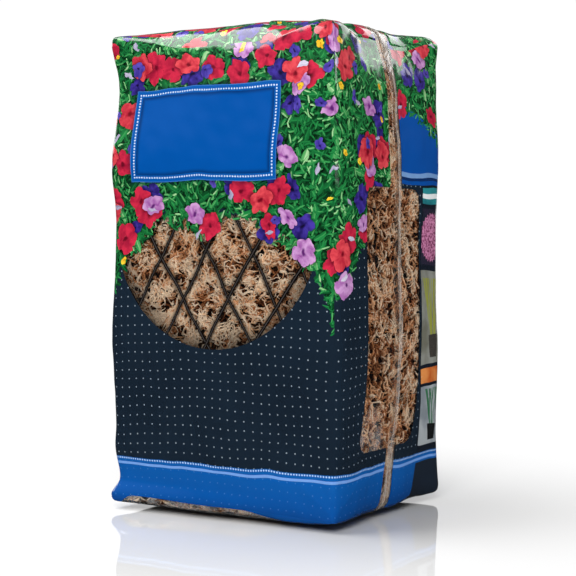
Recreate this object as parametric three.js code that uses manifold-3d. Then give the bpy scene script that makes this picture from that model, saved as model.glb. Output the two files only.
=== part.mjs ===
// A bag of dried long-fibred sphagnum moss: one compressed clump of moss inside a tight film bag that
// stands on its folded bottom. The film is printed on most of its area and clear in a half-round front
// window, in a window on each side, along the seam down the middle of the right side, and on the underside.
//
// Millimetres, +Z up. The origin is on the surface that the bag stands on, under the middle of the bag,
// and the front of the bag faces -Y. Every surface is the same pillow-shaped block, drawn in or let out
// by a distance, so the film has an even thickness and the moss follows it.

import * as THREE from "three";
import { mergeVertices } from "three/addons/utils/BufferGeometryUtils.js";
import Module from "manifold-3d";

// The whole bag, outside.
const WIDTH = 165; // along X
const DEPTH = 141.5; // along Y
const WALL_LOW = 5; // height of the crease where the walls turn into the underside
const WALL_HIGH = 304.5; // height where they turn into the top
const DOME = 5.8; // how far the middle of the top stands above that
const HEIGHT = WALL_HIGH + DOME;
const FILM = 0.8; // film thickness, thicker than life so that it is a solid
const GAP = 0.3; // air between neighbouring solids
const FAR = 400; // past the bag on any side

// How round the block is. A higher power is a sharper edge.
const WALL_POWER = 13; // the four upright edges at half height ...
const WALL_END_POWER = 44; // ... and at their ends, where the folds keep them sharp
const TOP_POWER = 9; // where the walls turn into the top
const BOTTOM_POWER = 28; // where they turn into the underside
const EAR_POWER = 44; // the eight corners, which stay pointed
const REST_DEPTH = 1; // how far the convex underside is pressed flat where the bag rests

// How far each upright edge bulges past straight: [height, bulge] down the film, in order.
const FRONT_LEFT_BULGE = [
  [9, 1.8], [20, -1.8], [43, 1], [116, 4],
  [192, 2.5], [219, 4], [273, -1.5], [301, 1],
];
const BACK_RIGHT_BULGE = [[9, 0.5], [29, 0.5], [107, 3], [160, 2], [218, 3], [272, 0.5], [301, -1.5]];
const FRONT_RIGHT_BULGE = [[9, 0], [43, 2], [116, 4], [194, 3], [262, 1], [301, -1.5]];
const BACK_LEFT_BULGE = [[9, 0], [58, 1], [145, 4], [233, 2], [301, 0]];

// Film that is clear.
const WALL_REACH = 14; // how far in from a wall's crease an opening in that wall is cut
const WINDOW_X = -2; // middle of the half-round front window
const WINDOW_TOP = 189; // its straight upper edge
const WINDOW_HALF_WIDTH = 77.5;
const WINDOW_DROP = 82.5; // how far its lowest point is below that edge
const SIDE_FRONT = -37; // the side windows run between these two places along Y ...
const SIDE_BACK = 35;
const SIDE_LOW = 44.5; // ... and between these two heights
const SIDE_HIGH = 206.5;
const SIDE_LEAN = 9; // how far forward the lower end of the right window leans ...
const SIDE_LEAN_HEIGHT = 53; // ... over this height
const SIDE_CORNER = 10; // radius of the windows' corners
const SEAM_WIDTH = 10.5; // the clear strip that holds the seam
const SEAM_Y = 2.5;
const SEAM_END_X = 50; // where the strip goes under the flaps, on the top
const BASE_LEFT = 9.5; // the clear underside's upper edge slopes from this height ...
const BASE_RIGHT = 3.5; // ... to this one

// The folded top: a flap from the front and one from the back, and the crimped seal that joins them,
// laid flat.
const FLAP_RISE = 0.9;
const FLAP_EDGE = 6; // the flaps start this far in from the walls
const CRIMP_LENGTH = 128;
const CRIMP_WIDTH = 14;
const CRIMP_Y = 2; // its front edge
const CRIMP_RISE = 2;
const CRIMP_RIBS = 3;
const RIB_WIDTH = 1.6;
const RIB_RISE = 0.5;
const RIB_INSET = 1; // how much shorter than the crimp a rib is at each end

// The moss.
const CORE_INSET = 7; // from the outside of the bag to the middle of the core's relief
const CORE_RELIEF = 2.6;
const STRAND_LENGTH = [34, 58];
const STRAND_CURL = [4, 9]; // how far a strand sways to each side
const STRAND_RADIUS = 3.1;
const STRAND_TIP = 0.7; // radius at a strand's ends, as a share of that
const STRAND_FLATNESS = 0.8; // its thickness as a share of its width
const STRAND_STEPS = 4; // straight pieces along one strand
const STRAND_SIDES = 3;
const STRAND_ROOT = 10.5; // depth of a strand's buried ends below the outside of the bag
const STRAND_CREST = 3.8; // depth of its highest stretch
const STRAND_TRIES = 6; // places drawn for each strand, of which the emptiest is taken

// Facets along X, Y and Z of the film's block and of the core's.
const FILM_GRID = [10, 8, 16];
const CORE_GRID = [10, 9, 18];
const CROWDING = 0.55; // how much the facets crowd towards the edges, 0 to 1
const CURVE_SEGMENTS = 10; // along the front window's rim
const CORNER_SEGMENTS = 4; // round a side window's corner

const COLOURS = {
  print: 0x1c3350,
  clear: 0xe8ecef,
  moss: 0xa9825a,
};

const wasm = await Module();
wasm.setup();

// ---- the block that everything follows ----

const HALF = [WIDTH / 2, DEPTH / 2, (WALL_HIGH - WALL_LOW) / 2];
const MIDDLE = (WALL_HIGH + WALL_LOW) / 2;

// Value at height z of a list of [height, value], with smooth turns between them.
function along(list, z) {
  const last = list.length - 1;
  if (z <= list[0][0]) return list[0][1];
  if (z >= list[last][0]) return list[last][1];
  const i = list.findIndex(([height]) => height > z);
  const [z0, v0] = list[i - 1];
  const [z1, v1] = list[i];
  return THREE.MathUtils.lerp(v0, v1, THREE.MathUtils.smoothstep(z, z0, z1));
}

// Sideways bulge of the film at (x, y), both -1 to 1 across the block, and height z.
function bulge(x, y, z) {
  const right = THREE.MathUtils.smoothstep(x, -1, 1);
  const back = THREE.MathUtils.smoothstep(y, -1, 1);
  const front = THREE.MathUtils.lerp(along(FRONT_LEFT_BULGE, z), along(FRONT_RIGHT_BULGE, z), right);
  const rear = THREE.MathUtils.lerp(along(BACK_LEFT_BULGE, z), along(BACK_RIGHT_BULGE, z), right);
  return THREE.MathUtils.lerp(front, rear, back);
}

// Point of the block in direction (x, y, z), measured in half sizes, drawn in by inset all round.
function blockPoint(x, y, z, inset) {
  const most = Math.max(Math.abs(x), Math.abs(y), Math.abs(z));
  const edge = Math.abs(x * y) / most ** 2; // 1 along the upright edges
  const plain = z > 0 ? TOP_POWER : BOTTOM_POWER;
  const power = THREE.MathUtils.lerp(plain, EAR_POWER, edge ** 6);
  const wall = THREE.MathUtils.lerp(WALL_POWER, WALL_END_POWER, Math.abs(z / most) ** 4);
  const around = (Math.abs(x) ** wall + Math.abs(y) ** wall) ** (1 / wall);
  const reach = 1 / (around ** power + Math.abs(z) ** power) ** (1 / power);
  const [u, v, w] = [x * reach, y * reach, z * reach];
  const dome = DOME * (1 - u ** 2) * (1 - v ** 2);
  const sag = (WALL_LOW + REST_DEPTH) * (1 - u ** 4) * (1 - v ** 4);
  const point = new THREE.Vector3(
    u * (HALF[0] - inset),
    v * (HALF[1] - inset),
    MIDDLE + w * (HALF[2] - inset) + (w > 0 ? dome : -sag) * w ** 6,
  );
  const out = bulge(u, v, point.z);
  point.x += out * u;
  point.y += out * v;
  point.z = Math.max(point.z, inset);
  return point;
}

// ---- meshes and solids ----

// Closed mesh to solid.
function solidOf(geometry) {
  const plain = geometry.clone();
  plain.deleteAttribute("normal");
  plain.deleteAttribute("uv");
  const merged = mergeVertices(plain, 1e-4);
  return new wasm.Manifold(
    new wasm.Mesh({
      numProp: 3,
      vertProperties: new Float32Array(merged.attributes.position.array),
      triVerts: new Uint32Array(merged.index.array),
    }),
  );
}

// Solid to mesh.
function geometryOf(solid) {
  const mesh = solid.getMesh();
  const geometry = new THREE.BufferGeometry();
  geometry.setAttribute("position", new THREE.BufferAttribute(new Float32Array(mesh.vertProperties), 3));
  geometry.setIndex(new THREE.BufferAttribute(new Uint32Array(mesh.triVerts), 1));
  const faceted = geometry.toNonIndexed();
  faceted.computeVertexNormals();
  return faceted;
}

// The block, drawn in by inset(x, y, z), as a mesh whose facets crowd towards the edges.
function block(grid, inset) {
  const geometry = new THREE.BoxGeometry(2, 2, 2, ...grid);
  const position = geometry.attributes.position;
  const crowd = (s) => THREE.MathUtils.lerp(s, Math.sin((s * Math.PI) / 2), CROWDING);
  for (let i = 0; i < position.count; i++) {
    const [x, y, z] = [position.getX(i), position.getY(i), position.getZ(i)].map(crowd);
    const point = blockPoint(x, y, z, inset(x, y, z));
    position.setXYZ(i, point.x, point.y, point.z);
  }
  return solidOf(geometry);
}

const filmBlock = (inset) => block(FILM_GRID, () => inset);

// A prism of a flat shape, which lies in the plane of the first two directions and runs along the third.
function prism(shape, directions, start, end) {
  const geometry = new THREE.ExtrudeGeometry(shape, {
    depth: end - start,
    bevelEnabled: false,
    curveSegments: CURVE_SEGMENTS,
  });
  geometry.translate(0, 0, start);
  geometry.applyMatrix4(new THREE.Matrix4().makeBasis(...directions));
  return solidOf(geometry);
}

const X = new THREE.Vector3(1, 0, 0);
const Y = new THREE.Vector3(0, 1, 0);
const Z = new THREE.Vector3(0, 0, 1);

const alongX = (shape, start, end) => prism(shape, [Y, Z, X], start, end);
const alongY = (shape, start, end) => prism(shape, [X, Z, Y.clone().negate()], -end, -start);
const alongZ = (shape, start, end) => prism(shape, [X, Y, Z], start, end);

function polygon(...corners) {
  return new THREE.Shape(corners.map(([x, y]) => new THREE.Vector2(x, y)));
}

function rectangle(left, low, right, high) {
  return polygon([left, low], [right, low], [right, high], [left, high]);
}

// ---- the clear openings, drawn in by shrink ----

function frontOpening(shrink) {
  const halfWidth = WINDOW_HALF_WIDTH - shrink;
  const top = WINDOW_TOP - shrink;
  const shape = new THREE.Shape();
  shape.moveTo(WINDOW_X - halfWidth, top);
  shape.absellipse(WINDOW_X, top, halfWidth, WINDOW_DROP - 2 * shrink, Math.PI, 2 * Math.PI, false);
  shape.closePath();
  return alongY(shape, -FAR, -DEPTH / 2 + WALL_REACH);
}

function sideShape(shrink, lean) {
  const [front, back] = [SIDE_FRONT + shrink, SIDE_BACK - shrink];
  const [low, high] = [SIDE_LOW + shrink, SIDE_HIGH - shrink];
  const r = SIDE_CORNER;
  const upright = new THREE.Shape();
  upright.moveTo(front + r, low);
  upright.lineTo(back - r, low);
  upright.quadraticCurveTo(back, low, back, low + r);
  upright.lineTo(back, low + SIDE_LEAN_HEIGHT / 2);
  upright.lineTo(back, low + SIDE_LEAN_HEIGHT);
  upright.lineTo(back, high - r);
  upright.quadraticCurveTo(back, high, back - r, high);
  upright.lineTo(front + r, high);
  upright.quadraticCurveTo(front, high, front, high - r);
  upright.lineTo(front, low + SIDE_LEAN_HEIGHT);
  upright.lineTo(front, low + SIDE_LEAN_HEIGHT / 2);
  upright.lineTo(front, low + r);
  upright.quadraticCurveTo(front, low, front + r, low);
  const points = upright.getPoints(CORNER_SEGMENTS);
  for (const point of points) {
    point.x -= lean * Math.max(0, 1 - (point.y - low) / SIDE_LEAN_HEIGHT) ** 2;
  }
  return new THREE.Shape(points);
}

function seamStrip(halfWidth, shrink, start) {
  const shape = rectangle(SEAM_Y - halfWidth, 0, SEAM_Y + halfWidth, FAR);
  return alongX(shape, start + shrink, FAR);
}

function rightOpening(shrink) {
  const window = alongX(sideShape(shrink, SIDE_LEAN), WIDTH / 2 - WALL_REACH, FAR);
  return window.add(seamStrip(SEAM_WIDTH / 2 - shrink, shrink, SEAM_END_X));
}

function leftOpening(shrink) {
  return alongX(sideShape(shrink, 0), -FAR, -WIDTH / 2 + WALL_REACH);
}

function baseOpening(shrink) {
  const slope = (BASE_LEFT - BASE_RIGHT) / WIDTH;
  const edge = (x) => (BASE_LEFT + BASE_RIGHT) / 2 - slope * x - shrink;
  return alongY(polygon([-FAR, -FAR], [FAR, -FAR], [FAR, edge(FAR)], [-FAR, edge(-FAR)]), -FAR, FAR);
}

// ---- the film ----

const filmOutside = filmBlock(0);
const filmInside = filmBlock(FILM);
const filmSkin = filmOutside.subtract(filmInside);

// A flap of the top, from the front (side -1) or the back (side 1): its slanting ends start at the corners.
function flap(side) {
  const far = DEPTH / 2 - FLAP_EDGE;
  const wide = WIDTH / 2 - FLAP_EDGE;
  const shape = polygon([-wide, side * far], [-wide + far, 0], [wide - far, 0], [wide, side * far]);
  return alongZ(shape, HEIGHT / 2, FAR);
}

function crimp() {
  const half = CRIMP_LENGTH / 2;
  const band = alongZ(rectangle(-half, CRIMP_Y, half, CRIMP_Y + CRIMP_WIDTH), HEIGHT / 2, FAR);
  let solid = filmBlock(-CRIMP_RISE).intersect(band);
  const ribbed = filmBlock(-CRIMP_RISE - RIB_RISE);
  const pitch = CRIMP_WIDTH / CRIMP_RIBS;
  for (let i = 0; i < CRIMP_RIBS; i++) {
    const y = CRIMP_Y + (i + 0.5) * pitch - RIB_WIDTH / 2;
    const rib = alongZ(rectangle(-half + RIB_INSET, y, half - RIB_INSET, y + RIB_WIDTH), HEIGHT / 2, FAR);
    solid = solid.add(ribbed.intersect(rib));
  }
  return solid;
}

function printedFilm() {
  const flaps = filmBlock(-FLAP_RISE).intersect(flap(-1).add(flap(1)));
  return filmOutside
    .add(flaps)
    .add(crimp())
    .subtract(filmInside)
    .subtract(frontOpening(0))
    .subtract(rightOpening(0))
    .subtract(leftOpening(0))
    .subtract(baseOpening(0));
}

// ---- the moss ----

// Small seeded random number generator.
function seeded(seed) {
  let state = seed;
  return () => {
    state = (Math.imul(state, 1664525) + 1013904223) >>> 0;
    return state / 2 ** 32;
  };
}

// Lumps of the tangled core, -1 to 1: three waves across each other.
function lumps(x, y, z) {
  const waves = [Math.sin(9 * x + 5 * z + 1), Math.sin(8 * y - 11 * z + 2), Math.sin(17 * z + 6 * x - 7 * y)];
  return waves.reduce((sum, wave) => sum + wave) / waves.length;
}

// One curled strand, whose middle lies in the direction start: it rises out of the core, lies against the
// film and dives back in. A ring of points goes round its path at every step.
function strand(start, heading, length, curl, phase) {
  const outward = start.clone().normalize();
  const side = new THREE.Vector3().crossVectors(Math.abs(outward.z) > 0.8 ? Y : Z, outward).normalize();
  const up = new THREE.Vector3().crossVectors(outward, side);
  const half = new THREE.Vector3(...HALF);
  const rings = [];
  for (let i = 0; i <= STRAND_STEPS; i++) {
    const t = i / STRAND_STEPS;
    const forward = (t - 0.5) * length;
    const sway = curl * Math.sin(2 * Math.PI * t + phase);
    const a = forward * Math.cos(heading) - sway * Math.sin(heading);
    const b = forward * Math.sin(heading) + sway * Math.cos(heading);
    const place = start.clone().multiply(half).addScaledVector(side, a).addScaledVector(up, b);
    const aim = place.divide(half);
    const rise = Math.sin(Math.PI * t);
    const depth = THREE.MathUtils.lerp(STRAND_ROOT, STRAND_CREST, rise ** 0.7);
    const centre = blockPoint(aim.x, aim.y, aim.z, depth);
    const normal = blockPoint(aim.x, aim.y, aim.z, depth - 1).sub(centre).normalize();
    rings.push({ centre, normal, radius: STRAND_RADIUS * THREE.MathUtils.lerp(STRAND_TIP, 1, rise) });
  }
  const vertices = [];
  rings.forEach(({ centre, normal, radius }, i) => {
    const before = rings[Math.max(i - 1, 0)].centre;
    const after = rings[Math.min(i + 1, STRAND_STEPS)].centre;
    const across = new THREE.Vector3().crossVectors(after.clone().sub(before), normal).normalize();
    for (let k = 0; k < STRAND_SIDES; k++) {
      const angle = (2 * Math.PI * k) / STRAND_SIDES + Math.PI / 2;
      vertices.push(
        centre
          .clone()
          .addScaledVector(across, -radius * Math.cos(angle))
          .addScaledVector(normal, STRAND_FLATNESS * radius * Math.sin(angle)),
      );
    }
  });
  const faces = [];
  for (let i = 0; i < STRAND_STEPS; i++) {
    for (let k = 0; k < STRAND_SIDES; k++) {
      const [a, b] = [i * STRAND_SIDES + k, i * STRAND_SIDES + ((k + 1) % STRAND_SIDES)];
      faces.push([a, b, b + STRAND_SIDES], [a, b + STRAND_SIDES, a + STRAND_SIDES]);
    }
  }
  const last = STRAND_STEPS * STRAND_SIDES;
  for (let k = 1; k < STRAND_SIDES - 1; k++) {
    faces.push([0, k + 1, k], [last, last + k, last + k + 1]);
  }
  return new wasm.Manifold(
    new wasm.Mesh({
      numProp: 3,
      vertProperties: new Float32Array(vertices.flatMap((v) => v.toArray())),
      triVerts: new Uint32Array(faces.flat()),
    }),
  );
}

// Where strands stand out of the core: many behind the clear film, few elsewhere. across and up are the
// stretch of the face that they cover, in millimetres from the middle of the block.
const SIDE_STRETCH = { across: [SIDE_FRONT, SIDE_BACK], up: [SIDE_LOW - MIDDLE, SIDE_HIGH - MIDDLE] };
const FRONT_STRETCH = {
  across: [WINDOW_X - WINDOW_HALF_WIDTH, WINDOW_X + WINDOW_HALF_WIDTH],
  up: [WINDOW_TOP - WINDOW_DROP - MIDDLE, WINDOW_TOP - MIDDLE],
};
const STRAND_PLACES = [
  { axis: 1, side: -1, count: 32, ...FRONT_STRETCH },
  { axis: 0, side: 1, count: 28, ...SIDE_STRETCH },
  { axis: 0, side: -1, count: 24, ...SIDE_STRETCH },
  { axis: 2, side: -1, count: 8, across: [-70, 70], up: [-60, 60] },
  { axis: 2, side: 1, count: 6, across: [-70, 70], up: [-60, 60] },
  { axis: 1, side: 1, count: 10, across: [-75, 75], up: [-140, 140] },
  { axis: 1, side: -1, count: 5, across: [-75, 75], up: [-140, -60] },
  { axis: 1, side: -1, count: 5, across: [-75, 75], up: [45, 140] },
];

// A direction to a random spot of one of those places.
function drawSpot({ axis, side, across, up }, random) {
  const [first, second] = [0, 1, 2].filter((other) => other !== axis);
  const direction = [0, 0, 0];
  direction[axis] = side;
  direction[first] = THREE.MathUtils.lerp(...across, random()) / HALF[first];
  direction[second] = THREE.MathUtils.lerp(...up, random()) / HALF[second];
  return new THREE.Vector3(...direction);
}

// Of a few random spots, the one furthest from those already taken.
function emptiestSpot(place, taken, random) {
  const half = new THREE.Vector3(...HALF);
  const room = (spot) => Math.min(...taken.map((other) => spot.clone().sub(other).multiply(half).length()));
  let best = drawSpot(place, random);
  for (let i = 1; i < STRAND_TRIES; i++) {
    const spot = drawSpot(place, random);
    if (room(spot) > room(best)) best = spot;
  }
  return best;
}

function mossBale() {
  const random = seeded(7);
  const between = (range) => THREE.MathUtils.lerp(...range, random());
  const turn = () => random() * 2 * Math.PI;
  let moss = block(CORE_GRID, (x, y, z) => CORE_INSET + CORE_RELIEF * lumps(x, y, z));
  const taken = [];
  for (const place of STRAND_PLACES) {
    for (let i = 0; i < place.count; i++) {
      const spot = emptiestSpot(place, taken, random);
      taken.push(spot);
      moss = moss.add(strand(spot, turn(), between(STRAND_LENGTH), between(STRAND_CURL), turn()));
    }
  }
  const pressed = moss.intersect(filmBlock(FILM + GAP));
  // The largest shell alone: hollows that crossing strands closed are filled, and loose scraps go.
  return pressed.decompose().reduce((most, other) => (other.volume() > most.volume() ? other : most));
}

// ---- the bag ----

function material(colour, roughness, opacity = 1) {
  return new THREE.MeshStandardMaterial({
    color: colour,
    roughness,
    metalness: 0,
    opacity,
    transparent: opacity < 1,
  });
}

const group = new THREE.Group();
const printed = material(COLOURS.print, 0.25);
const clear = material(COLOURS.clear, 0.1, 0.35);
const dried = material(COLOURS.moss, 0.95);

function place(name, solid, finish) {
  const mesh = new THREE.Mesh(geometryOf(solid), finish);
  mesh.name = name;
  group.add(mesh);
}

place("moss_bale", mossBale(), dried);
place("film_print", printedFilm(), printed);
place("film_window_front", filmSkin.intersect(frontOpening(GAP)), clear);
place("film_window_right", filmSkin.intersect(rightOpening(GAP)).subtract(baseOpening(0)), clear);
place("film_window_left", filmSkin.intersect(leftOpening(GAP)), clear);
place("film_base", filmSkin.intersect(baseOpening(GAP)), clear);

export default group;
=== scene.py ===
"""A bag of dried sphagnum moss: printed and clear film wrapped tight round a compressed clump of moss.

The bag's shape is the part's own block formula, repeated here on a fine grid with the film's creases added.
Its sizes are in millimetres, as in the part's source, and turn into metres where a mesh is made.
"""

import math

import bpy
import numpy as np
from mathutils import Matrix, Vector


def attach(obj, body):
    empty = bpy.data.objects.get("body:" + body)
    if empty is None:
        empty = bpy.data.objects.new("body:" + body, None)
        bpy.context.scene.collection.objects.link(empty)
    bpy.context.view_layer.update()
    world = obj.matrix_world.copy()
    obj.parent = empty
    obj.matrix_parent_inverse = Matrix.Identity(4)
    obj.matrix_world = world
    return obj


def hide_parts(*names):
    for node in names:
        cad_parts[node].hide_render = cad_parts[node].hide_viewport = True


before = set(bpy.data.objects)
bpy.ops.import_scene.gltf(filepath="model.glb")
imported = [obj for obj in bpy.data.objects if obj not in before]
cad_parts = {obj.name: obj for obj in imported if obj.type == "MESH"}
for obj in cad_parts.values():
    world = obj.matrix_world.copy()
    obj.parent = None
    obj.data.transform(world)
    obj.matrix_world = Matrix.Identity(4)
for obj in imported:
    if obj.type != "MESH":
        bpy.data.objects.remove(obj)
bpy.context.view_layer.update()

MM = 0.001

# ---- the block, as in the part's source ----

WIDTH, DEPTH = 165, 141.5
WALL_LOW, WALL_HIGH = 5, 304.5
DOME = 5.8
WALL_POWER, WALL_END_POWER = 13, 44
TOP_POWER, BOTTOM_POWER = 9, 28
EAR_POWER = 90  # the corners are sharper than the source's
REST_DEPTH = 1
# How far the upright edges stand out: (height, bulge).
FRONT_LEFT_BULGE = [(9, 1.8), (20, -1.8), (43, 1), (116, 4), (192, 2.5), (219, 4), (273, -1.5), (301, 1)]
BACK_RIGHT_BULGE = [(9, 0.5), (29, 0.5), (107, 3), (160, 2), (218, 3), (272, 0.5), (301, -1.5)]
FRONT_RIGHT_BULGE = [(9, 0), (43, 2), (116, 4), (194, 3), (262, 1), (301, -1.5)]
BACK_LEFT_BULGE = [(9, 0), (58, 1), (145, 4), (233, 2), (301, 0)]

WINDOW_X, WINDOW_TOP = -2, 189
WINDOW_HALF_WIDTH, WINDOW_DROP = 77.5, 82.5
SIDE_FRONT, SIDE_BACK = -37, 35
SIDE_LOW, SIDE_HIGH = 44.5, 206.5
SIDE_LEAN, SIDE_LEAN_HEIGHT = 9, 53
SIDE_CORNER = 10
# The seam: (height, y) of its middle, how far the clear strip reaches to the rear of it, and to the front of
# it low and high on the wall, and where it ends on the top and under the base.
SEAM_LINE = [(4, -5.5), (24, -4.6), (42, -2.4), (74, 2.9), (124, 5.4), (190, 4.2), (257, 4.4), (305, 2)]
SEAM_REAR, SEAM_FRONT_LOW, SEAM_FRONT_HIGH = 5.4, 6.2, 10.6
SEAM_END_X, SEAM_UNDER_X = 50, 66
# The upper edge of the clear base: (x, height).
BASE_LINE = [(-84, 1.5), (-66, 10), (12, 8), (60, 0.5), (84, 0.2)]

HALF = np.array([WIDTH / 2, DEPTH / 2, (WALL_HIGH - WALL_LOW) / 2])
MIDDLE = (WALL_HIGH + WALL_LOW) / 2


def lerp(a, b, t):
    return a + (b - a) * t


def smoothstep(low, high, x):
    t = np.clip((x - low) / (high - low), 0, 1)
    return t * t * (3 - 2 * t)


def unit(vectors):
    return vectors / np.maximum(np.linalg.norm(vectors, axis=-1, keepdims=True), 1e-12)


def along(knots, z):
    """Value at height z of a list of (height, value), with smooth turns between them."""
    value = np.full_like(z, knots[0][1])
    for (z0, v0), (z1, v1) in zip(knots, knots[1:]):
        value = np.where(z > z0, lerp(v0, v1, smoothstep(z0, z1, z)), value)
    return value


def bulge(u, v, z):
    right = smoothstep(-1, 1, u)
    front = lerp(along(FRONT_LEFT_BULGE, z), along(FRONT_RIGHT_BULGE, z), right)
    rear = lerp(along(BACK_LEFT_BULGE, z), along(BACK_RIGHT_BULGE, z), right)
    return lerp(front, rear, smoothstep(-1, 1, v))


def block(direction):
    """Points of the bag's outside in these directions, which are measured in half sizes."""
    x, y, z = direction.T
    most = np.abs(direction).max(axis=1)
    edge = np.abs(x * y) / most**2
    power = lerp(np.where(z > 0, TOP_POWER, BOTTOM_POWER), EAR_POWER, edge**6)
    wall = lerp(WALL_POWER, WALL_END_POWER, np.abs(z / most) ** 4)
    around = ((np.abs(x) / most) ** wall + (np.abs(y) / most) ** wall) ** (1 / wall) * most
    reach = ((around / most) ** power + (np.abs(z) / most) ** power) ** (-1 / power) / most
    u, v, w = x * reach, y * reach, z * reach
    dome = DOME * (1 - u**2) * (1 - v**2)
    sag = (WALL_LOW + REST_DEPTH) * (1 - u**4) * (1 - v**4)
    height = MIDDLE + w * HALF[2] + np.where(w > 0, dome, -sag) * w**6
    out = bulge(u, v, height)
    return np.stack([u * (HALF[0] + out), v * (HALF[1] + out), np.maximum(height, 0)], axis=1)


# ---- the film's relief ----


def ripples(points, length, seed, waves=7):
    """Smooth noise of about that wavelength, -1 to 1: waves that cross at seeded angles."""
    random = np.random.default_rng(seed)
    total = np.zeros(len(points))
    for _ in range(waves):
        heading = random.normal(size=3)
        heading *= random.uniform(0.7, 1.4) / np.linalg.norm(heading)
        total += np.sin(points @ heading * (2 * math.pi / length) + random.uniform(0, 2 * math.pi))
    return total / math.sqrt(waves) / 1.4


# Creases: from each of these places, mostly the folded corners, out over the walls to these others, with
# their height (negative is a groove) and half width.
CREASES = {
    (-84, -72, 300): [
        ((-48, -74, 272), 0.9, 2.2), ((-70, -74, 246), -0.7, 2.6),
        ((-20, -74, 290), 0.6, 2.0), ((-84, -38, 264), 0.8, 2.4),
    ],
    (84, -72, 300): [
        ((46, -74, 284), 0.8, 2.2), ((72, -74, 250), -0.7, 3.0),
        ((84, -40, 262), 0.8, 2.4), ((84, -20, 288), -0.7, 2.0),
    ],
    (84, 72, 300): [((84, 40, 266), 0.8, 2.4), ((84, 22, 286), -0.6, 2.2), ((44, 74, 270), 0.8, 2.4)],
    (-84, 72, 300): [((-84, 34, 268), 0.8, 2.4), ((-50, 74, 272), 0.8, 2.4)],
    (84, -72, 8): [
        ((50, -74, 34), 0.9, 2.4), ((62, -74, 52), -0.8, 2.8),
        ((84, -34, 36), 0.8, 2.4), ((84, -52, 62), -0.6, 2.6),
    ],
    (-84, -72, 8): [((-52, -74, 30), 0.8, 2.4), ((-66, -74, 46), -0.7, 2.4), ((-84, -36, 34), 0.8, 2.4)],
    (84, 72, 8): [((84, 38, 30), 0.8, 2.2), ((84, 56, 58), -0.7, 2.4), ((44, 74, 34), 0.8, 2.4)],
    (-84, 72, 8): [((-84, 30, 36), 0.8, 2.4), ((-50, 74, 34), 0.8, 2.4)],
    (60, -60, 308): [((84, -24, 292), 1.1, 2.2)],
    (60, -40, 309): [((84, -2, 290), 1.2, 2.4)],
    (60, 0, 310): [((84, 26, 292), 1.0, 2.4)],
    (60, 26, 309): [((84, 52, 294), 0.9, 2.0)],
    (34, -60, 306): [((30, -74, 284), 0.8, 1.8)],
    (4, -58, 306): [((-4, -74, 288), 0.9, 2.0)],
    (-24, -60, 306): [((-34, -74, 286), 0.8, 1.8)],
    (-50, -60, 306): [((-54, -74, 290), 0.7, 1.8)],
    (84, 20, 60): [((84, -14, 48), 0.7, 1.6)],
    (84, -34, 50): [((84, -8, 72), 0.7, 1.8)],
    (84, -28, 46): [((84, -6, 58), -0.5, 1.4)],
}
# Where the fill presses the shoulders out, or the fold pulls them in: from, to, height, half width.
SHOULDERS = [
    ((70, -32, 304), (70, 76, 304), 4.2, 11),
    ((-84, -56, 304), (30, -54, 304), 1.6, 9),
    ((66, -64, 306), (86, -74, 306), -2.6, 12),
]
PUCKER_DROP = 22  # how far down the walls the puckers under the top fold reach
PUCKER_PITCH = 26
PUCKER_RISE = 0.28
LUMP_PITCH, LUMP_RISE = 46, 0.55
FINE_PITCH, FINE_RISE = 13, 0.12
DEEPEST, HIGHEST = -2, 4  # of the whole relief
FLOOR_CONTACT, FLOOR_CLEAR = 1.5, 4  # heights between which the relief starts


def nearest(points, start, end):
    """(share of the way from start to end, distance) of each point's nearest place on that line."""
    start = np.array(start, float)
    line = np.array(end, float) - start
    share = np.clip((points - start) @ line / (line @ line), 0, 1)
    return share, np.linalg.norm(points - start - share[:, None] * line, axis=1)


def crease(points, start, end, rise, half_width):
    """A ridge along the line from start to end that fades towards its end."""
    share, away = nearest(points, start, end)
    return rise * np.exp(-away / half_width) * smoothstep(0, 0.12, share) * (1 - share) ** 0.7


def swell(points, start, end, rise, half_width):
    """A broad, soft roll along the line from start to end."""
    share, away = nearest(points, start, end)
    ends = smoothstep(0, 0.2, share + 0.1) * smoothstep(1.1, 0.9, share)
    return rise * np.exp(-((away / half_width) ** 2)) * ends


def relief(points):
    """How far the film stands out of the plain block, in millimetres."""
    z = points[:, 2]
    total = LUMP_RISE * ripples(points, LUMP_PITCH, 3) + FINE_RISE * ripples(points, FINE_PITCH, 4, waves=9)
    for start, ends in CREASES.items():
        total += sum(crease(points, start, *end) for end in ends)
    total += sum(swell(points, *line) for line in SHOULDERS)
    around = points * [1, 1, 0.15]
    for past, seed in ((z - (WALL_HIGH - PUCKER_DROP), 5), (PUCKER_DROP * 0.7 - z, 6)):
        share = np.clip(past / PUCKER_DROP, 0, 1)
        total += PUCKER_RISE * share * ripples(around, PUCKER_PITCH, seed, waves=5)
    return np.clip(total, DEEPEST, HIGHEST) * (1 - smoothstep(FLOOR_CLEAR, FLOOR_CONTACT, z))


BLOCK_STEP, FILM_STEP = 2e-3, 3e-3  # for the slope of the plain block, and of the creased film


def outward(surface, direction, step):
    """Directions out of a surface, from the slope between points a little to each side. They are the same
    on both sides of a join between two pieces."""
    aim = unit(direction)
    first = unit(np.cross(aim, np.where(np.abs(aim[:, 2:]) < 0.6, [[0, 0, 1.0]], [[0, 1.0, 0]])))
    second = np.cross(aim, first)
    across = surface(aim + step * first) - surface(aim - step * first)
    up = surface(aim + step * second) - surface(aim - step * second)
    normal = unit(np.cross(across, up))
    return normal * np.sign(np.sum(normal * aim, axis=1, keepdims=True))


def film(direction, depth=0.0):
    """Points of the creased film in these directions, or that deep under it."""
    flat = block(direction)
    point = flat + outward(block, direction, BLOCK_STEP) * (relief(flat) - depth)[:, None]
    point[:, 2] = np.maximum(point[:, 2], np.maximum(depth, 0))
    return point


# ---- the film's six faces as grids, cut where print meets clear film ----

GRID = {"x": 112, "y": 96, "z": 190}  # cells along each axis
CROWDING = 0.5  # how much closer they lie towards the edges
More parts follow.
